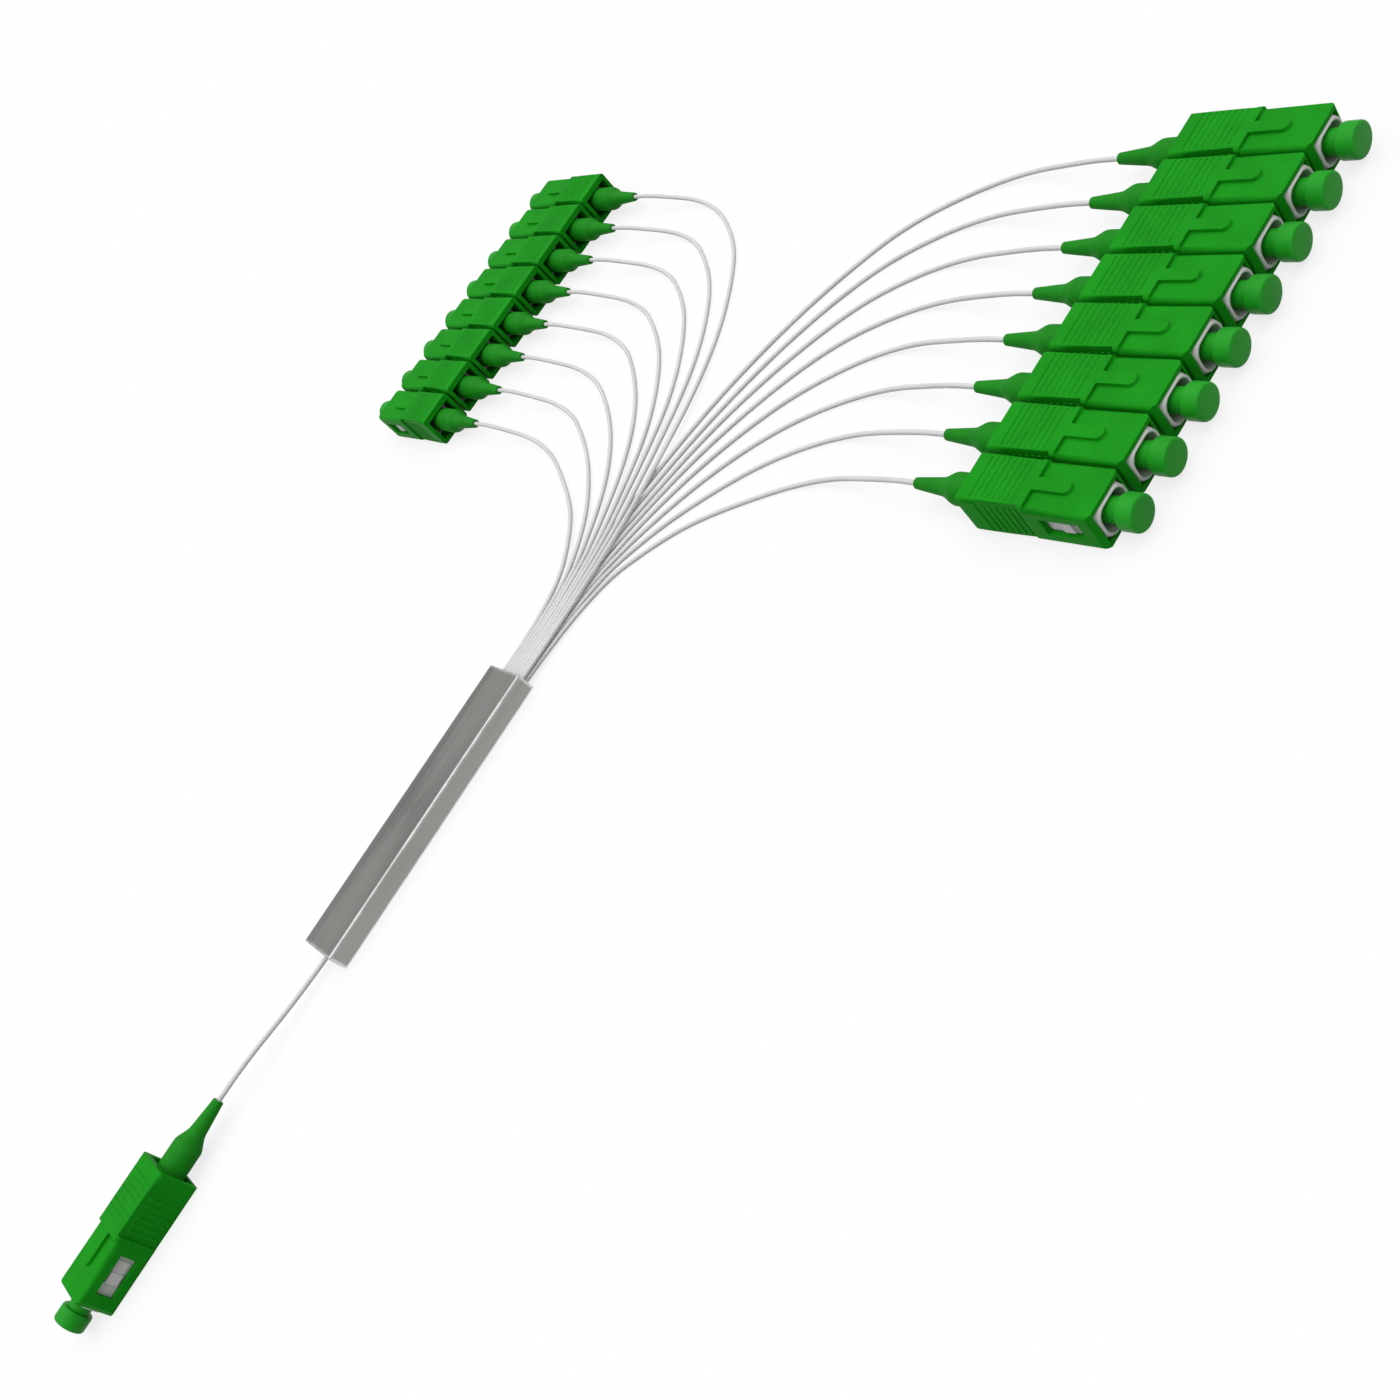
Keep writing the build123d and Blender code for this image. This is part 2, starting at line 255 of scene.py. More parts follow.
def ray_level(tree, scattered, mirrored, seen):
    """Levels for scattered light, for mirrors, and for what is seen straight or through glass."""
    path = add(tree, "ShaderNodeLightPath")
    straight = add(tree, "ShaderNodeMath", operation="MAXIMUM")
    by_mirror = add(tree, "ShaderNodeMix", {"A": scattered, "B": mirrored})
    by_eye = add(tree, "ShaderNodeMix", {"B": seen})
    join(
        tree,
        (path.outputs["Is Camera Ray"], straight.inputs[0]),
        (path.outputs["Is Transmission Ray"], straight.inputs[1]),
        (path.outputs["Is Glossy Ray"], by_mirror.inputs["Factor"]),
        (straight.outputs[0], by_eye.inputs["Factor"]),
        (by_mirror.outputs["Result"], by_eye.inputs["A"]),
    )
    return by_eye.outputs["Result"]


table_mesh = bpy.data.meshes.new("table")
corners = [(-1, -1), (1, -1), (1, 1), (-1, 1)]
table_mesh.from_pydata([(x * table_half, y * table_half, 0) for x, y in corners], [], [(0, 1, 2, 3)])
table = put("table", table_mesh)

table_finish = bpy.data.materials.new("table_white")
tree = bare_tree(table_finish)
matte = add(tree, "ShaderNodeBsdfDiffuse", {"Color": (table_colour,) * 3 + (1,)})
glow = add(tree, "ShaderNodeEmission")
both = add(tree, "ShaderNodeAddShader")
join(
    tree,
    (ray_level(tree, scattered=0, mirrored=table_glow, seen=table_glow), glow.inputs["Strength"]),
    (matte.outputs[0], both.inputs[0]),
    (glow.outputs[0], both.inputs[1]),
    (both.outputs[0], add(tree, "ShaderNodeOutputMaterial").inputs["Surface"]),
)
table_mesh.materials.append(table_finish)

sun_data = bpy.data.lights.new("window_light", "SUN")
sun_data.energy = sun_strength
sun_data.angle = math.radians(sun_width)
sun = put("window_light", sun_data)
sun.rotation_mode = "QUATERNION"
sun.rotation_quaternion = sun_from.to_track_quat("Z", "Y")

world = bpy.data.worlds.new("pale_room")
scene.world = world
tree = bare_tree(world)
sky = add(tree, "ShaderNodeBackground", {"Color": (1, 1, 1, 1)})
sky_level = ray_level(tree, scattered=shade_strength, mirrored=ceiling_in_mirrors, seen=1.0)
join(
    tree,
    (sky_level, sky.inputs["Strength"]),
    (sky.outputs[0], add(tree, "ShaderNodeOutputWorld").inputs["Surface"]),
)
scene.view_settings.view_transform = "Standard"
light_on_table = sun_strength / math.pi * sun_from.normalized().z + shade_strength
print("light on the table:", round(light_on_table, 2))

# %% [markdown]
# ## Effects that several finishes share
#
# Moulded plastic is never one flat colour: the mould leaves a fine grain, the colour clouds a little
# where the melt flowed, corners are rubbed paler by handling, and a trace of dust settles on what
# faces up. On the steel tube the paler edges are partly a painted highlight, along its long corners.
# Each effect is a node group with its own inputs, so that every finish below can use it at its own
# strength. Each reads Object coordinates or the piece's own attribute of paler edges, never the
# camera.

# %% Build the shared effects


def new_effect(name, inputs, outputs):
    """An empty shader group, with what its named inputs give and its named outputs take."""
    group = bpy.data.node_groups.new(name, "ShaderNodeTree")
    for socket, value in inputs.items():
        made = group.interface.new_socket(socket, in_out="INPUT", socket_type="NodeSocketFloat")
        made.default_value = value
    for socket in outputs:
        group.interface.new_socket(socket, in_out="OUTPUT", socket_type="NodeSocketFloat")
    return group, add(group, "NodeGroupInput").outputs, add(group, "NodeGroupOutput").inputs


def own_place(tree):
    """Where a point of the surface lies on its own piece."""
    return add(tree, "ShaderNodeTexCoord").outputs["Object"]


def feed(tree, socket, value):
    """Links an input to an output, or gives it a plain value."""
    if isinstance(value, bpy.types.NodeSocket):
        tree.links.new(value, socket)
    else:
        socket.default_value = value


def math_of(tree, operation, first, second):
    """A math node whose two inputs are sockets or plain numbers."""
    node = add(tree, "ShaderNodeMath", operation=operation)
    feed(tree, node.inputs[0], first)
    feed(tree, node.inputs[1], second)
    return node.outputs[0]


def vector_of(tree, **axes):
    """A vector whose X, Y and Z are sockets or plain numbers."""
    node = add(tree, "ShaderNodeCombineXYZ")
    for axis, value in axes.items():
        feed(tree, node.inputs[axis], value)
    return node.outputs[0]


def noise(tree, place, scale, **inputs):
    """A value that wanders over the surface, with a socket or a plain number for its scale."""
    node = add(tree, "ShaderNodeTexNoise", inputs)
    feed(tree, node.inputs["Scale"], scale)
    join(tree, (place, node.inputs["Vector"]))
    return node.outputs["Fac"]


grain, g_in, g_out = new_effect(
    "mould_grain", {"Grain per metre": 5000, "Cloud per metre": 160}, ["Height", "Cloud"]
)
place = own_place(grain)
join(
    grain,
    (noise(grain, place, g_in["Grain per metre"], Detail=3), g_out["Height"]),
    (noise(grain, place, g_in["Cloud per metre"], Detail=2), g_out["Cloud"]),
)

# Paler edges: wear on the mouldings; on the steel tube the same mask also paints a highlight along the
# corners
wear_and_highlight_effect, r_in, r_out = new_effect(
    "rubbed_edges", {"Patches per metre": 700, "Evenness": 0.0, "Amount": 0.5}, ["Mask"]
)
edge = add(wear_and_highlight_effect, "ShaderNodeAttribute", attribute_name="edge_rub")
patchy = add(wear_and_highlight_effect, "ShaderNodeMapRange", {"From Min": 0.35, "From Max": 0.65})
join(
    wear_and_highlight_effect,
    (noise(wear_and_highlight_effect, own_place(wear_and_highlight_effect), r_in["Patches per metre"]), patchy.inputs["Value"]),
    (r_in["Evenness"], patchy.inputs["To Min"]),
)
wear_and_highlight_edges = math_of(wear_and_highlight_effect, "MULTIPLY", edge.outputs["Fac"], patchy.outputs[0])
join(wear_and_highlight_effect, (math_of(wear_and_highlight_effect, "MULTIPLY", wear_and_highlight_edges, r_in["Amount"]), r_out["Mask"]))

dust, d_in, d_out = new_effect("settled_dust", {"Specks per metre": 2500, "Amount": 0.1}, ["Mask"])
normal = add(dust, "ShaderNodeSeparateXYZ")
specks = noise(dust, own_place(dust), d_in["Specks per metre"], Detail=4, Roughness=0.7)
settled = add(dust, "ShaderNodeMapRange", {"From Min": 0.45, "From Max": 0.75})
upward = add(dust, "ShaderNodeMapRange", {"From Min": 0.3})
join(
    dust,
    (add(dust, "ShaderNodeNewGeometry").outputs["Normal"], normal.inputs[0]),
    (normal.outputs["Z"], upward.inputs["Value"]),
    (specks, settled.inputs["Value"]),
)
lying = math_of(dust, "MULTIPLY", upward.outputs[0], settled.outputs[0])
join(dust, (math_of(dust, "MULTIPLY", lying, d_in["Amount"]), d_out["Mask"]))

drawn, l_in, l_out = new_effect(
    "drawn_lines", {"Along per metre": 40, "Across per metre": 9000}, ["Lines", "Bands"]
)
across = l_in["Across per metre"]
stretch = vector_of(drawn, X=l_in["Along per metre"], Y=across, Z=across)
lines_place = add(drawn, "ShaderNodeVectorMath", operation="MULTIPLY")
bands_place = add(drawn, "ShaderNodeVectorMath", {"Scale": 0.08}, operation="SCALE")
join(
    drawn,
    (own_place(drawn), lines_place.inputs[0]),
    (stretch, lines_place.inputs[1]),
    (lines_place.outputs[0], bands_place.inputs[0]),
    (noise(drawn, lines_place.outputs[0], 1, Detail=4), l_out["Lines"]),
    (noise(drawn, bands_place.outputs[0], 1), l_out["Bands"]),
)
print("effects:", [group.name for group in bpy.data.node_groups if group.type == "SHADER"])

# %% [markdown]
# ## The finishes
#
# A finish starts from the Principled shader. What is the same all over, such as how far light goes
# into the plastic, is set on the shader itself. What changes over the surface comes from the effects:
# the cloud moves the colour between two close shades, rubbed edges mix in a paler one (on the tube
# its long corners are a painted highlight), dust mixes in grey, and the grain drives a very shallow
# bump.

# %% Mix the finishes
dust_on_plastic = (0.45, 0.45, 0.43)
dust_on_steel = (0.3, 0.3, 0.29)
dust_on_fibre = (0.45, 0.44, 0.42)
dust_roughness = 0.5


def effect(tree, group, **values):
    """Places a shared effect in a finish, with its own values, and gives what it puts out."""
    node = add(tree, "ShaderNodeGroup", node_tree=group)
    for name, value in values.items():
        node.inputs[name.replace("_", " ").capitalize()].default_value = value
    return node.outputs


def blend_colours(tree, mask, first, second):
    """A colour that goes from first to second as the mask goes from nought to one."""
    node = add(tree, "ShaderNodeMix", data_type="RGBA")
    join(tree, (mask, node.inputs["Factor"]))
    for name, colour in (("A", first), ("B", second)):
        feed(tree, node.inputs[name], (*colour, 1) if isinstance(colour, tuple) else colour)
    return node.outputs["Result"]


def spread(tree, value, low, high):
    """Moves a value from the middle of its range to between low and high."""
    limits = {"From Min": 0.3, "From Max": 0.7, "To Min": low, "To Max": high}
    node = add(tree, "ShaderNodeMapRange", limits)
    join(tree, (value, node.inputs["Value"]))
    return node.outputs[0]


def clouded(tree, mask, first, second):
    """A colour that wanders between two close shades."""
    return blend_colours(tree, spread(tree, mask, 0, 1), first, second)


def new_finish(name, **constants):
    """A material with a Principled shader, and the shader's constants set on its own sockets."""
    finish = bpy.data.materials.new(name)
    finish.use_nodes = True
    shader = finish.node_tree.nodes["Principled BSDF"]
    for socket, value in constants.items():
        shader.inputs[socket.replace("_", " ")].default_value = value
    return finish, finish.node_tree, shader


def dress(tree, shader, colour, roughness, height=None, depth=0.0):
    """Joins colour and roughness to a shader, and a shallow bump with its depth in millimetres."""
    join(tree, (colour, shader.inputs["Base Color"]), (roughness, shader.inputs["Roughness"]))
    if height is not None:
        bump = add(tree, "ShaderNodeBump", {"Strength": 1.0, "Distance": depth * MM})
        join(tree, (height, bump.inputs["Height"]), (bump.outputs[0], shader.inputs["Normal"]))


def moulded(name, dark, light, pale_edge, rough, grain_depth, rub_amount, dust_amount, specular):
    """A moulded plastic: two close shades, paler edges, a little dust and a fine grain."""
    finish, tree, shader = new_finish(name, Specular_IOR_Level=specular)
    skin = effect(tree, grain)
    edges = effect(tree, wear_and_highlight_effect, amount=rub_amount)
    grey = effect(tree, dust, amount=dust_amount)
    colour = clouded(tree, skin["Cloud"], dark, light)
    colour = blend_colours(tree, edges["Mask"], colour, pale_edge)
    colour = blend_colours(tree, grey["Mask"], colour, dust_on_plastic)
    dusty = math_of(tree, "MULTIPLY", grey["Mask"], dust_roughness)
    roughness = math_of(tree, "ADD", spread(tree, skin["Cloud"], *rough), dusty)
    dress(tree, shader, colour, roughness, skin["Height"], grain_depth)
    return finish


grip_green = moulded(
    "grip_green", dark=(0.008, 0.31, 0.009), light=(0.011, 0.37, 0.012), pale_edge=(0.03, 0.46, 0.035),
    rough=(0.48, 0.6), grain_depth=0.006, rub_amount=0.5, dust_amount=0.02, specular=0.06,
)
cap_green = moulded(
    "cap_green", dark=(0.015, 0.36, 0.017), light=(0.022, 0.44, 0.025), pale_edge=(0.05, 0.52, 0.06),
    rough=(0.28, 0.38), grain_depth=0.003, rub_amount=0.4, dust_amount=0.02, specular=0.12,
)
boot_green = moulded(
    "boot_green", dark=(0.011, 0.27, 0.011), light=(0.015, 0.32, 0.015), pale_edge=(0.04, 0.38, 0.045),
    rough=(0.52, 0.66), grain_depth=0.008, rub_amount=0.35, dust_amount=0.03, specular=0.1,
)
frame_white = moulded(
    "frame_white", dark=(0.76, 0.735, 0.75), light=(0.82, 0.8, 0.81), pale_edge=(0.88, 0.87, 0.87),
    rough=(0.34, 0.46), grain_depth=0.004, rub_amount=0.5, dust_amount=0.08, specular=0.4,
)
stop_grey = moulded(
    "stop_grey", dark=(0.05, 0.05, 0.052), light=(0.075, 0.075, 0.078), pale_edge=(0.2, 0.2, 0.2),
    rough=(0.42, 0.55), grain_depth=0.006, rub_amount=0.4, dust_amount=0.05, specular=0.4,
)

# Ceramic is dense and glassy, and its ground skin has hardly any grain
ferrule_ceramic, tree, shader = new_finish("ferrule_ceramic", Coat_Weight=0.25, Coat_Roughness=0.08)
skin = effect(tree, grain, grain_per_metre=20000, cloud_per_metre=400)
colour = clouded(tree, skin["Cloud"], (0.76, 0.74, 0.69), (0.84, 0.83, 0.79))
roughness = spread(tree, skin["Height"], 0.14, 0.24)
dress(tree, shader, colour, roughness, skin["Height"], depth=0.001)

# The tube is drawn stainless steel: fine lines run along it, with broad bands from the die
tube_steel, tree, shader = new_finish("tube_steel", Metallic=1.0, Anisotropic=0.4)
draw = effect(tree, drawn)
# Worn ends, and a painted highlight along the long corners, in a pale bright grey; the evenness keeps
# the highlight an unbroken line
edges = effect(tree, wear_and_highlight_effect, patches_per_metre=300, evenness=0.5, amount=0.75)
grey = effect(tree, dust, amount=0.12)
colour = clouded(tree, draw["Bands"], (0.25, 0.245, 0.234), (0.335, 0.328, 0.315))
fine_lines = spread(tree, draw["Lines"], 0, 0.6)
colour = blend_colours(tree, fine_lines, colour, (0.38, 0.375, 0.365))
colour = blend_colours(tree, edges["Mask"], colour, (0.85, 0.85, 0.84))
colour = blend_colours(tree, grey["Mask"], colour, dust_on_steel)
roughness = spread(tree, draw["Lines"], 0.3, 0.46)
dress(tree, shader, colour, roughness, draw["Lines"], depth=0.004)

# Spring wire is the same metal, drawn thinner and brighter
spring_wire, tree, shader = new_finish("spring_wire", Metallic=1.0)
draw = effect(tree, drawn, along_per_metre=900)
colour = blend_colours(tree, draw["Lines"], (0.36, 0.36, 0.36), (0.62, 0.62, 0.61))
dress(tree, shader, colour, spread(tree, draw["Lines"], 0.2, 0.36))

# The fibre's buffer is a soft pale plastic, extruded, so it only clouds along its length
fibre_buffer, tree, shader = new_finish(
    "fibre_buffer", Specular_IOR_Level=0.3, Subsurface_Weight=0.6, Subsurface_Radius=(1, 1, 1),
    Subsurface_Scale=0.3 * MM,
)
skin = effect(tree, grain, grain_per_metre=9000, cloud_per_metre=90)
grey = effect(tree, dust, amount=0.08)
colour = clouded(tree, skin["Cloud"], (0.81, 0.813, 0.816), (0.875, 0.877, 0.88))
colour = blend_colours(tree, grey["Mask"], colour, dust_on_fibre)
roughness = spread(tree, skin["Cloud"], 0.3, 0.45)
dress(tree, shader, colour, roughness, skin["Height"], depth=0.002)

# Epoxy has set with a glassy skin over a few trapped bubbles
seal_epoxy, tree, shader = new_finish("seal_epoxy", Coat_Weight=0.4, Coat_Roughness=0.12)
skin = effect(tree, grain, grain_per_metre=1500, cloud_per_metre=500)
bubbles = add(tree, "ShaderNodeTexVoronoi", {"Scale": 1800})
bubble_size = 0.18
join(tree, (own_place(tree), bubbles.inputs["Vector"]))
pits = math_of(tree, "LESS_THAN", bubbles.outputs["Distance"], bubble_size)
colour = clouded(tree, skin["Cloud"], (0.5, 0.48, 0.41), (0.62, 0.6, 0.54))
colour = blend_colours(tree, pits, colour, (0.4, 0.38, 0.33))
roughness = spread(tree, skin["Height"], 0.25, 0.4)
dress(tree, shader, colour, roughness, skin["Height"], depth=0.02)

# The chip and its fibre blocks are clear silica, with sawn sides that scatter a little
chip_glass, tree, shader = new_finish("chip_glass", Metallic=0.0, Transmission_Weight=0.85, IOR=1.46)
skin = effect(tree, grain, grain_per_metre=12000, cloud_per_metre=600)
colour = clouded(tree, skin["Cloud"], (0.82, 0.88, 0.88), (0.92, 0.95, 0.94))
dress(tree, shader, colour, spread(tree, skin["Height"], 0.04, 0.16))
print("finishes:", len(bpy.data.materials))

# %% [markdown]
# ## Tools for small turned and moulded parts
#
# Three ways make every hard piece. A turned part is a profile spun round its axis, with its corners
# eased by a short curve, because no real edge is perfectly sharp. A sleeve is a row of closed loops
# joined by a skin. And a moulded part whose form is already right in CAD is a merged copy with its
# edges bevelled. All of them write an attribute of paler edges, which the finishes read to find the
# corners: worn corners, and on the tube also a painted highlight.

# %% Write the shaping tools
ease_steps = 4
turn_steps = 48
sharp_angle = 40.0
bevel_segments = 2
least_bevel_angle = 35.0


def baked(piece, name):
    """The mesh that an object's modifiers give, under a name of its own."""
    bpy.context.view_layer.update()
    mesh = bpy.data.meshes.new_from_object(piece.evaluated_get(bpy.context.evaluated_depsgraph_get()))
    mesh.name = name
    return mesh


def even_out(piece):
    """Smooths all but real corners, and lets large faces set the shading, so that flat looks flat."""
    piece.data.shade_smooth()
    piece.data.set_sharp_from_angle(angle=math.radians(sharp_angle))
    modifier = piece.modifiers.new("large_faces_first", "WEIGHTED_NORMAL")
    modifier.keep_sharp = True
    mesh = baked(piece, piece.name)
    piece.modifiers.clear()
    piece.data = mesh


def finished(shape, name, finish):
    """Turns a bmesh into an object at the origin, with faces outward and only real corners sharp."""
    bmesh.ops.recalc_face_normals(shape, faces=shape.faces)
    mesh = bpy.data.meshes.new(name)
    shape.to_mesh(mesh)
    shape.free()
    mesh.materials.append(finish)
    piece = put(name, mesh)
    even_out(piece)
    return piece


def join_rings(shape, first, second):
    """Faces all round from one ring of points to the next, where a ring may be a single point."""
    count = max(len(first), len(second))
    for here in range(count):
        after = (here + 1) % count
        corners = [
            first[here % len(first)], first[after % len(first)],
            second[after % len(second)], second[here % len(second)],
        ]
        shape.faces.new(list(dict.fromkeys(corners)))


def skinned(name, loops, finish, closed=True):
    """Joins loops of points, in millimetres and each with its wear, and back to the first if closed."""
    shape = bmesh.new()
    pale_edge = shape.verts.layers.float.new("edge_rub")
    rings = []
    for points, wear in loops:
        ring = [shape.verts.new(point * MM) for point in points]
        for vert in ring:
            vert[pale_edge] = wear
        rings.append(ring)
    for first, second in zip(rings, rings[1:] + (rings[:1] if closed else [])):
        join_rings(shape, first, second)
    return finished(shape, name, finish)


def eased(profile, radii):
    """A profile of (along, radius) points with its corners eased, as (point, wear) pairs.

    How far each corner is eased is given by its number in the profile.
    """
    points = []
    for index, corner in enumerate(profile):
        here = Vector(corner)
        reach = radii.get(index, 0)
        if not reach:
            points.append((here, 0.0))
            continue
        start = here + (Vector(profile[index - 1]) - here).normalized() * reach
        end = here + (Vector(profile[(index + 1) % len(profile)]) - here).normalized() * reach
        for step in range(ease_steps + 1):
            t = step / ease_steps
            spot = start * (1 - t) ** 2 + here * 2 * t * (1 - t) + end * t * t
            points.append((spot, 1.0 - abs(2 * t - 1)))
    return points


def turned(name, profile, radii, closed, finish):
    """Spins a profile round the X axis. A closed one makes a ring, an open one a solid."""
    loops = []
    for spot, wear in eased(profile, radii):
        count = 1 if spot.y == 0 else turn_steps
        angles = [2 * math.pi * step / turn_steps for step in range(count)]
        ring = [Vector((spot.x, spot.y * math.cos(a), spot.y * math.sin(a))) for a in angles]
        loops.append((ring, wear))
    return skinned(name, loops, finish, closed)


def bevelled(shape, width, runs_out=None):
    """Rounds the corners of a merged shape by a width in millimetres, and marks them for rubbing.

    Where runs_out says that a corner thins out to nothing, a bevel would fold over, so it is left
    as it is.
    """
    corners = []
    for corner in shape.edges:
        if not corner.is_convex or corner.calc_face_angle() < math.radians(least_bevel_angle):
            continue
        if not runs_out or not any(runs_out(vert.co / MM) for vert in corner.verts):
            corners.append(corner)
    made = bmesh.ops.bevel(
        shape, geom=corners, offset=width * MM, segments=bevel_segments, profile=0.5, affect="EDGES",
        clamp_overlap=False, loop_slide=True,
    )
    pale_edge = shape.verts.layers.float.new("edge_rub")
    round_faces = set(made["faces"])
    for vert in shape.verts:
        vert[pale_edge] = 1.0 if vert.link_faces and round_faces.issuperset(vert.link_faces) else 0.0


def ring_of(along, width, height, radius, middle=0.0, steps=5):
    """A rounded rectangle across the X axis, or a circle where both sides are twice the radius."""
    points = []
    for quarter in range(4):
        side = (1 if quarter in (0, 3) else -1) * (width / 2 - radius)
        rise = (1 if quarter in (0, 1) else -1) * (height / 2 - radius)
        for step in range(steps + 1):
            angle = math.pi / 2 * (quarter + (step + 0.5) / (steps + 1))
            if width > 2 * radius:
                angle = math.pi / 2 * (quarter + step / steps)
            y = side + radius * math.cos(angle)
            z = middle + rise + radius * math.sin(angle)
            points.append(Vector((along, y, z)))
    return points


def tell(*pieces):
    """Prints how many faces each piece has."""
    print("faces:", {piece.name: len(piece.data.polygons) for piece in pieces})


print("shaping tools ready")

# %% [markdown]
# ## The steel tube and its seals
#
# The tube is drawn flat, cut to length and tumbled, so its ends have a small round edge that catches
# the light. It is a skin over loops of rounded rectangles: along the outside, over the end, back
# through the inside. The epoxy that closes each end sets with a slight swell, and the fibres come out
# of it.

# %% Skin the tube and the seals
tube_width = 10.4
tube_height = 4.3
tube_middle = tube_height / 2
tube_wall = 0.3
tube_corner = 0.5
least_corner = 0.15
end_rounding = 0.11
end_steps = 3
corner_margin = 0.05
seal_length = 4.0
seal_swell = 0.22
# Where loops lie along the tube, as shares of its half length
outer_shares = (-0.98, -0.5, 0.0, 0.5, 0.98)
inner_shares = (0.9, 0.0, -0.9)
# How far past the tube's end each loop of a seal lies, and its share of the way in to the middle
seal_profile = [
    (-seal_length, 0.0), (-0.04, 0.0), (seal_swell * 0.5, 0.13), (seal_swell * 0.85, 0.35),
    (seal_swell, 0.65),
]


def tube_ring(along, inset):
    """A loop across the tube, the given depth in from its outer face."""
    corner = max(tube_corner - inset, least_corner)
    return ring_of(along, tube_width - 2 * inset, tube_height - 2 * inset, corner, tube_middle)


def end_rings(end):
    """Loops over one end of the tube, from its outer face to its inner one, with their wear."""
    outward = math.copysign(1, end)
    rings = []
    for step in range(end_steps + 1):
        angle = math.pi / 2 * step / end_steps
        along = end - outward * end_rounding * (1 - math.sin(angle))
        rings.append((tube_ring(along, end_rounding * (1 - math.cos(angle))), 1.0))
    rings.append((tube_ring(end, tube_wall - end_rounding / 2), 0.3))
    rings.append((tube_ring(end - outward * end_rounding / 2, tube_wall), 0.0))
    return rings


tube_loops = [(tube_ring(share * tube_end, 0.0), 0.0) for share in outer_shares]
tube_loops += end_rings(tube_end)
tube_loops += [(tube_ring(share * tube_end, tube_wall), 0.0) for share in inner_shares]
tube_loops += end_rings(-tube_end)[::-1]
tube = skinned("tube_shell", tube_loops, tube_steel)
# The long corners are marked too, for a painted highlight along them
for vert, pale_edge in zip(tube.data.vertices, tube.data.attributes["edge_rub"].data):
    across = abs(vert.co.y) / MM - tube_width / 2 + tube_corner
    above = abs(vert.co.z / MM - tube_middle) - tube_height / 2 + tube_corner
    if min(across, above) > corner_margin:
        pale_edge.value = 1.0


def seal_solid(shape, end):
    """Adds one epoxy plug to a shape: loops from inside the tube to the top of the swell."""
    outward = math.copysign(1, end)
    rings = []
    for past_end, share in seal_profile:
        loop = tube_ring(end + outward * past_end, tube_wall + share * (tube_middle - tube_wall))
        rings.append([shape.verts.new(point * MM) for point in loop])
    for first, second in zip(rings, rings[1:]):
        join_rings(shape, first, second)
    shape.faces.new(rings[0])
    shape.faces.new(rings[-1])


seal_shape = bmesh.new()
seal_solid(seal_shape, tube_end)
seal_solid(seal_shape, -tube_end)
seals = finished(seal_shape, "seal_beads", seal_epoxy)
tell(tube, seals)

# %% [markdown]
# ## One connector, seventeen times
#
# Each small part is made once, with its axis along X and the tip of its boot at the origin. The boot,
# the ferrule and the cap are turned. The plug frame is skinned from a rounded square outside, with its
# corners rounder towards the mouth, to round bores inside, and its latch blocks are stepped outlines
# drawn out to a solid and bevelled.

# %% Turn the boot
boot_bore = 0.55
boot_tip_radius = 0.95
boot_neck = (6.4, 1.55)
boot_shoulder = 8.8
boot_radius = 2.65
boot_end = 15.6
socket_start = 12.0
socket_radius = 1.73

boot = turned(
    "boot_model",
    [(0, boot_bore), (0, boot_tip_radius), boot_neck, (boot_shoulder, boot_radius),
     (boot_end, boot_radius), (boot_end, socket_radius), (socket_start, socket_radius),
     (socket_start, boot_bore)],
    {0: 0.1, 1: 0.14, 2: 0.7, 3: 0.5, 4: 0.15}, True, boot_green,
)
tell(boot)

# %% Turn the ferrule
ferrule_start = 22.9
ferrule_tip = 38.9
ferrule_radius = 1.2495
stem_radius = 1.1
flange_start = 27.0
flange_end = 29.4
flange_radius = 2.1
tip_chamfer = 0.25
tip_radius = 1.0
tip_ring_radius = 0.4
tip_angle = math.radians(8.0)

ferrule = turned(
    "ferrule_model",
    [(ferrule_start, 0), (ferrule_start, stem_radius), (flange_start, stem_radius),
     (flange_start, flange_radius), (flange_end, flange_radius), (flange_end, ferrule_radius),
     (ferrule_tip - tip_chamfer, ferrule_radius), (ferrule_tip, tip_radius),
     (ferrule_tip, tip_ring_radius), (ferrule_tip, 0)],
    {1: 0.1, 3: 0.12, 4: 0.12, 6: 0.06, 7: 0.06}, False, ferrule_ceramic,
)
# The tip is polished at an angle, so what stands over the polished face is laid down onto it
tip_slope = math.tan(tip_angle)
for vert in ferrule.data.vertices:
    polished = (ferrule_tip - ferrule_radius * tip_slope) * MM - vert.co.z * tip_slope
    vert.co.x = min(vert.co.x, polished)
tell(ferrule)

# %% Turn the dust cap
cap_end = 42.9
cap_radius = 2.8
cap_step = 39.9
cap_neck_radius = 2.0
cap_start = 31.6
cap_bore = 1.2995
cap_bore_end = 39.3

cap = turned(
    "cap_model",
    [(cap_end, 0), (cap_end, cap_radius), (cap_step, cap_radius), (cap_step, cap_neck_radius),
     (cap_start, cap_neck_radius), (cap_start, cap_bore), (cap_bore_end, cap_bore), (cap_bore_end, 0)],
    {1: 0.5, 2: 0.5, 4: 0.2, 5: 0.1}, False, cap_green,
)
tell(cap)

# %% Skin the plug frame
frame_start = 17.5
frame_end = 38.3
seat_end = 30.6
frame_width = 6.9
frame_height = 5.6
frame_corner = 0.4
mouth_width = 5.9
mouth_height = 4.8
mouth_corner = 1.8
mouth_easing = 0.1
ferrule_bore = 2.699
spring_bore = 4.8
entry_bore = 5.0
entry_easing = 0.1
frame_steps = 11
# Towards the mouth the outer corners get rounder: how far back from the end, and how round
rounder_corners = [(1.8, frame_corner), (0.9, 1.2)]
roundest_corner = 2.1
# How each end's outer edge is eased: back from the end, in from the face, and how rubbed
front_easing = [(0.15, 0.0, 0), (0.05, 0.04, 1), (0.0, 0.13, 0)]
rear_easing = [(0.0, 0.15, 0), (0.05, 0.05, 1), (0.15, 0.0, 0)]


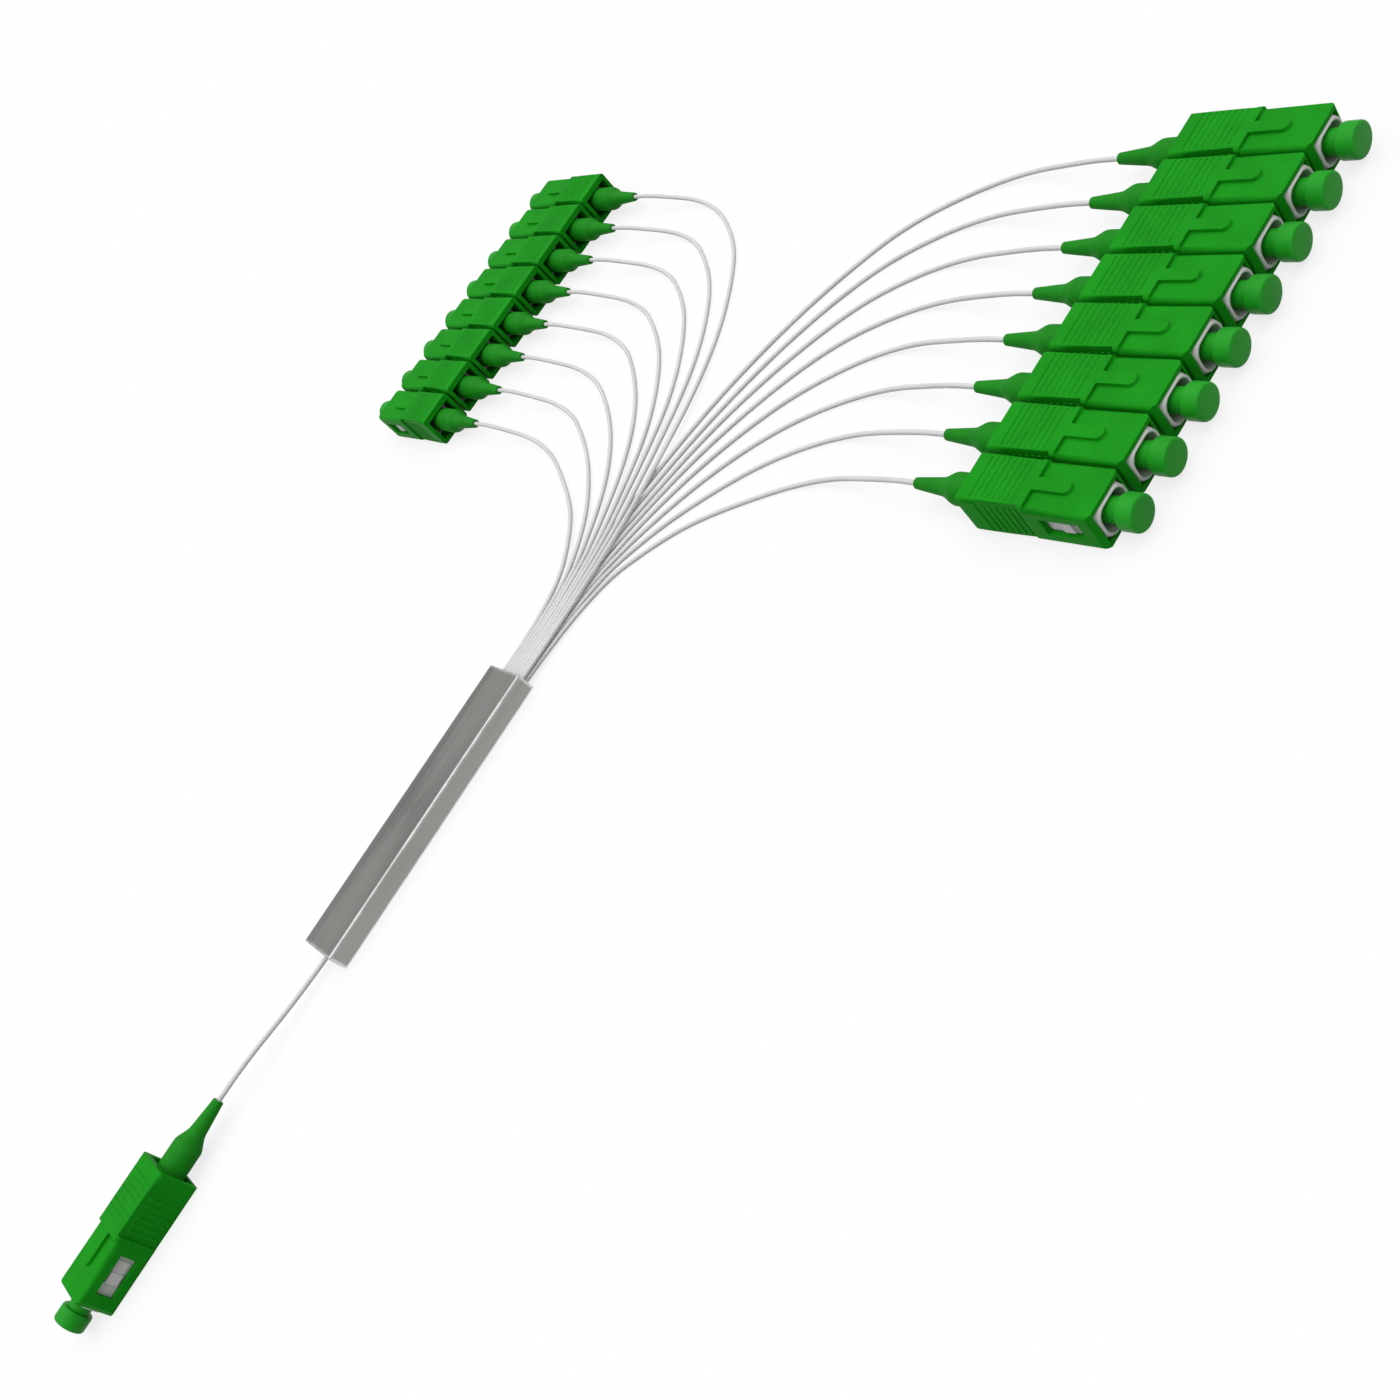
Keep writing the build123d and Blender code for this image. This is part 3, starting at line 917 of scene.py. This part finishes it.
def frame_ring(along, inset, corner=frame_corner):
    """A loop round the outside of the plug frame."""
    width = frame_width - 2 * inset
    return ring_of(along, width, frame_height - 2 * inset, corner, steps=frame_steps)


def mouth_ring(along, inset):
    """A loop round the inside of the mouth."""
    width = mouth_width - 2 * inset
    return ring_of(along, width, mouth_height - 2 * inset, mouth_corner - inset, steps=frame_steps)


def bore_ring(along, bore):
    """A circle round a bore, with as many points as the other loops."""
    return ring_of(along, bore, bore, bore / 2, steps=frame_steps)


frame_loops = [(frame_ring(frame_end - back, 0, corner), 0) for back, corner in rounder_corners]
for back, inset, wear in front_easing:
    frame_loops.append((frame_ring(frame_end - back, inset, roundest_corner), wear))
for loop in (
    mouth_ring(frame_end, -mouth_easing), mouth_ring(frame_end - mouth_easing, 0),
    mouth_ring(seat_end, 0), bore_ring(seat_end, ferrule_bore),
    bore_ring(flange_end, ferrule_bore), bore_ring(flange_end, spring_bore),
    bore_ring(frame_start + entry_easing, spring_bore), bore_ring(frame_start, entry_bore),
):
    frame_loops.append((loop, 0))
for back, inset, wear in rear_easing:
    frame_loops.append((frame_ring(frame_start + back, inset), wear))
sleeve = skinned("sleeve_model", frame_loops, frame_white)
frame_shape = bmesh.new()
frame_shape.from_mesh(sleeve.data)
bpy.data.objects.remove(sleeve)
print("loops of the plug frame:", len(frame_loops))

# %% Add the latch blocks
latch_rear = 29.0
latch_step = 31.2
latch_front = 33.2
latch_root = 3.2
latch_low = 3.75
latch_high = 4.05
latch_half_width = 1.2
latch_bevel = 0.08

# Each block is one stepped outline seen from above, rooted in the frame's wall
latch_outline = [
    (latch_rear, latch_root), (latch_front, latch_root), (latch_front, latch_high),
    (latch_step, latch_high), (latch_step, latch_low), (latch_rear, latch_low),
]
block_shape = bmesh.new()
for side in (-1, 1):
    lower, upper = [
        [block_shape.verts.new(Vector((x, side * y, z)) * MM) for x, y in latch_outline]
        for z in (-latch_half_width, latch_half_width)
    ]
    block_shape.faces.new(lower)
    block_shape.faces.new(upper)
    join_rings(block_shape, lower, upper)
bmesh.ops.recalc_face_normals(block_shape, faces=block_shape.faces)
bevelled(block_shape, latch_bevel)
blocks = bpy.data.meshes.new("latch_blocks")
block_shape.to_mesh(blocks)
block_shape.free()
frame_shape.from_mesh(blocks)
plug_frame = finished(frame_shape, "plug_frame_model", frame_white)
tell(plug_frame)

# %% [markdown]
# ## The grip
#
# The grip is the hardest moulding: a rounded sleeve with a higher rear half, ribbed sides, a key and
# two windows. CAD already has that form exactly, so its mesh is merged and its edges are bevelled by
# a few hundredths of a millimetre, as a mould would leave them. The finger grooves across the top are
# too fine for CAD. Geometry Nodes cut them: a line of bars, one boolean, and inputs for how many, how
# far apart, how wide and how deep.

# %% Bevel the grip


def standing(x, y, angle):
    """The place of a connector whose boot has its tip at x and y, turned about Z."""
    return Matrix.Translation(Vector((x, y, plug_axis_height)) * MM) @ Matrix.Rotation(angle, 4, "Z")


axis_place = {"input": standing(input_boot_tip_x, 0, math.pi)}
for plug, (side, number) in outputs.items():
    outward = row_sides[side]
    axis_place[plug] = standing(plug_along(number), outward * row_distance, outward * math.pi / 2)

grip_bevel = 0.06
grip_step = 26.4
step_margin = 0.1
waist_start = 16.9
waist_end = 25.5
long_edge_side = 3.75
long_edge_height = 3.0
merge_distance = 0.001
flat_angle = 1.0


def thins_out(spot):
    """Where the step and the ends of the waist run into a rounded long edge."""
    if abs(spot.y) <= long_edge_side:
        return False
    at_step = abs(spot.x - grip_step) < step_margin
    at_waist = waist_start < spot.x < waist_end and abs(spot.z) > long_edge_height
    return at_step or at_waist


grip_shape = bmesh.new()
grip_shape.from_mesh(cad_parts["input_grip"].data)
bmesh.ops.transform(grip_shape, matrix=axis_place["input"].inverted(), verts=grip_shape.verts)
bmesh.ops.remove_doubles(grip_shape, verts=grip_shape.verts, dist=merge_distance * MM)
bmesh.ops.dissolve_limit(
    grip_shape, angle_limit=math.radians(flat_angle), verts=grip_shape.verts, edges=grip_shape.edges
)
bevelled(grip_shape, grip_bevel, thins_out)
grip = finished(grip_shape, "grip_model", grip_green)
tell(grip)

# %% Cut the finger grooves
groove_count = 8
first_groove = 16.2
groove_pitch = 1.15
groove_width = 0.32
groove_depth = 0.1
groove_span = 7.4
grip_top = 4.25


def new_geometry_tree(name, inputs):
    """A Geometry Nodes tree with named inputs, each given with its socket type."""
    tree = bpy.data.node_groups.new(name, "GeometryNodeTree")
    for socket, kind in {"Geometry": "Geometry", **inputs, "Finish": "Material"}.items():
        tree.interface.new_socket(socket, in_out="INPUT", socket_type=f"NodeSocket{kind}")
    tree.interface.new_socket("Geometry", in_out="OUTPUT", socket_type="NodeSocketGeometry")
    return tree, add(tree, "NodeGroupInput").outputs


def row_of(tree, piece, count, first, step, turn_angle=0.0):
    """Copies of a piece in a row from the first place, one step apart and turned about Z."""
    row = add(tree, "GeometryNodeMeshLine", mode="OFFSET")
    feed(tree, row.inputs["Count"], count)
    copies = add(tree, "GeometryNodeInstanceOnPoints", {"Rotation": (0, 0, turn_angle)})
    join(
        tree,
        (first, row.inputs["Start Location"]),
        (step, row.inputs["Offset"]),
        (row.outputs["Mesh"], copies.inputs["Points"]),
        (piece, copies.inputs["Instance"]),
    )
    return copies.outputs["Instances"]


def end_tree(tree, geometry, given):
    """Ends a tree with real geometry in the given finish."""
    real = add(tree, "GeometryNodeRealizeInstances")
    painted = add(tree, "GeometryNodeSetMaterial")
    join(
        tree,
        (geometry, real.inputs["Geometry"]),
        (real.outputs["Geometry"], painted.inputs["Geometry"]),
        (given["Finish"], painted.inputs["Material"]),
        (painted.outputs["Geometry"], add(tree, "NodeGroupOutput").inputs["Geometry"]),
    )


def grown(name, tree, base, values):
    """Runs a Geometry Nodes tree on a base mesh and gives the result as a plain object."""
    host = put(name + "_host", base)
    modifier = host.modifiers.new("nodes", "NODES")
    modifier.node_group = tree
    for item in tree.interface.items_tree:
        if item.in_out == "INPUT" and item.name in values:
            modifier[item.identifier] = values[item.name]
    mesh = baked(host, name)
    bpy.data.objects.remove(host)
    return put(name, mesh)


groove_tree, given = new_geometry_tree("finger_grooves", {
    "Count": "Int", "First": "Float", "Pitch": "Float", "Width": "Float", "Depth": "Float",
    "Span": "Float", "Top": "Float",
})
# Half of each bar stands over the top
twice_depth = math_of(groove_tree, "MULTIPLY", given["Depth"], 2)
bar_size = vector_of(groove_tree, X=given["Width"], Y=given["Span"], Z=twice_depth)
first = vector_of(groove_tree, X=given["First"], Z=given["Top"])
step = vector_of(groove_tree, X=given["Pitch"])
bar = add(groove_tree, "GeometryNodeMeshCube")
bars = row_of(groove_tree, bar.outputs["Mesh"], given["Count"], first, step)
real = add(groove_tree, "GeometryNodeRealizeInstances")
cut = add(groove_tree, "GeometryNodeMeshBoolean", operation="DIFFERENCE", solver="EXACT")
join(
    groove_tree,
    (bar_size, bar.inputs["Size"]),
    (bars, real.inputs["Geometry"]),
    (given["Geometry"], cut.inputs["Mesh 1"]),
    (real.outputs["Geometry"], cut.inputs["Mesh 2"]),
)
end_tree(groove_tree, cut.outputs["Mesh"], given)
grooved = grown("grip_grooved", groove_tree, grip.data, {
    "Count": groove_count, "First": first_groove * MM, "Pitch": groove_pitch * MM,
    "Width": groove_width * MM, "Depth": groove_depth * MM, "Span": groove_span * MM,
    "Top": grip_top * MM, "Finish": grip_green,
})
even_out(grooved)
tell(grooved)

# %% [markdown]
# ## The spring
#
# CAD keeps the spring as the plain sleeve that its coils fill. Here it is wound: a spiral curve swept
# by a small round profile. It hides inside the plug frame, and shows when a frame is opened.

# %% Wind the spring
spring_turns = 5.0
spring_radius = 1.55
spring_length = 3.96
spring_start = 22.77
wire_diameter = 0.5

coil_tree, given = new_geometry_tree("wound_spring", {
    "Turns": "Float", "Radius": "Float", "Length": "Float", "Wire": "Float", "Start": "Float",
})
spiral = add(coil_tree, "GeometryNodeCurveSpiral", {"Resolution": 20})
wire = add(coil_tree, "GeometryNodeCurvePrimitiveCircle", {"Resolution": 8})
swept = add(coil_tree, "GeometryNodeCurveToMesh", {"Fill Caps": True})
laid = add(coil_tree, "GeometryNodeTransform", {"Rotation": (0, math.pi / 2, 0)})
half_wire = math_of(coil_tree, "MULTIPLY", given["Wire"], 0.5)
join(
    coil_tree,
    (given["Turns"], spiral.inputs["Rotations"]), (given["Length"], spiral.inputs["Height"]),
    (given["Radius"], spiral.inputs["Start Radius"]), (given["Radius"], spiral.inputs["End Radius"]),
    (half_wire, wire.inputs["Radius"]),
    (spiral.outputs["Curve"], swept.inputs["Curve"]),
    (wire.outputs["Curve"], swept.inputs["Profile Curve"]),
    (vector_of(coil_tree, X=given["Start"]), laid.inputs["Translation"]),
    (swept.outputs["Mesh"], laid.inputs["Geometry"]),
)
end_tree(coil_tree, laid.outputs["Geometry"], given)
nothing = bpy.data.meshes.new("nothing")
spring = grown("spring_model", coil_tree, nothing, {
    "Turns": spring_turns, "Radius": spring_radius * MM, "Length": spring_length * MM,
    "Wire": wire_diameter * MM, "Start": spring_start * MM, "Finish": spring_wire,
})
spring.data.shade_smooth()
tell(spring)

# %% [markdown]
# ## To their places
#
# What is fixed to the fibres belongs to the splitter's own body, so one Geometry Nodes tree sets all
# seventeen copies of a part out: eight along each row, facing outward, and one at the input. A grip
# slides and a cap comes off, so each of those is a piece of its own that rides on its own body.

# %% Set the copies out
place_tree, given = new_geometry_tree("connector_places", {
    "Part": "Object", "Per row": "Int", "First plug": "Float", "Pitch": "Float",
    "Row distance": "Float", "Axis height": "Float", "Input tip": "Float",
})
part = add(place_tree, "GeometryNodeObjectInfo")
together = add(place_tree, "GeometryNodeJoinGeometry")
join(place_tree, (given["Part"], part.inputs["Object"]))
far_side = math_of(place_tree, "MULTIPLY", given["Row distance"], -1)
step = vector_of(place_tree, X=given["Pitch"])
for along, outward, count, turn_angle in (
    (given["First plug"], given["Row distance"], given["Per row"], math.pi / 2),
    (given["First plug"], far_side, given["Per row"], -math.pi / 2),
    (given["Input tip"], 0, 1, math.pi),
):
    first = vector_of(place_tree, X=along, Y=outward, Z=given["Axis height"])
    copies = row_of(place_tree, part.outputs["Geometry"], count, first, step, turn_angle)
    join(place_tree, (copies, together.inputs[0]))
end_tree(place_tree, together.outputs[0], given)


def set_out(name, model, finish):
    """One piece with a copy of the model in every connector."""
    return grown(name, place_tree, nothing, {
        "Part": model, "Finish": finish, "Per row": fibres_per_row, "First plug": first_plug_x * MM,
        "Pitch": plug_pitch * MM, "Row distance": row_distance * MM,
        "Axis height": plug_axis_height * MM, "Input tip": input_boot_tip_x * MM,
    })


def placed(name, model, plug):
    """A copy of the model in one connector, with its place in its mesh."""
    mesh = model.data.copy()
    mesh.name = name
    mesh.transform(axis_place[plug])
    return put(name, mesh)


all_boots = set_out("all_boots", boot, boot_green)
all_frames = set_out("all_plug_frames", plug_frame, frame_white)
all_ferrules = set_out("all_ferrules", ferrule, ferrule_ceramic)
all_springs = set_out("all_springs", spring, spring_wire)
grips = {plug: placed(f"shell_{plug}", grooved, plug) for plug in plugs}
caps = {plug: placed(f"dust_cap_{plug}", cap, plug) for plug in plugs}
for model in (boot, plug_frame, ferrule, spring, grip, grooved, cap):
    bpy.data.objects.remove(model)
tell(all_boots, all_frames, all_ferrules, all_springs)

# %% [markdown]
# ## Tell the frame what each piece is
#
# Each piece rides on the body that its CAD node belongs to and stands for that node. The stop bodies,
# the chip and its fibre blocks keep their CAD mesh and only take a finish.

for piece, node, slot_name in (
    (tube, "steel_tube", "steel"), (seals, "end_seals", "epoxy"), (all_boots, "boots", "green_boot"),
    (all_frames, "plug_frames", "white_plastic"), (all_ferrules, "ferrules", "ceramic"),
    (all_springs, "springs", "spring_steel"),
):
    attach(piece, "splitter")
    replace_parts(piece, node)
for node, finish, slot_name in (
    ("stop_bodies", stop_grey, "inner_plastic"), ("splitter_chip", chip_glass, "glass"),
    ("fibre_arrays", chip_glass, "glass"),
):
    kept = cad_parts[node]
    kept.data.materials.clear()
    kept.data.materials.append(finish)


def node_name(plug, piece):
    """The CAD name of a piece in one plug: left_3 and grip give left_grip_3."""
    side, _, number = plug.partition("_")
    return f"{side}_{piece}_{number}" if number else f"{side}_{piece}"


for plug in plugs:
    grip_node, cap_node = node_name(plug, "grip"), node_name(plug, "cap")
    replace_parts(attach(grips[plug], grip_node), grip_node)
    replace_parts(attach(caps[plug], cap_node), cap_node)
    fibre = fibres[plug]
    fibre.data.materials.append(fibre_buffer)
    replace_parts(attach(fibre, "splitter"), node_name(plug, "fibre"))
print("cords declared:", len(plugs))
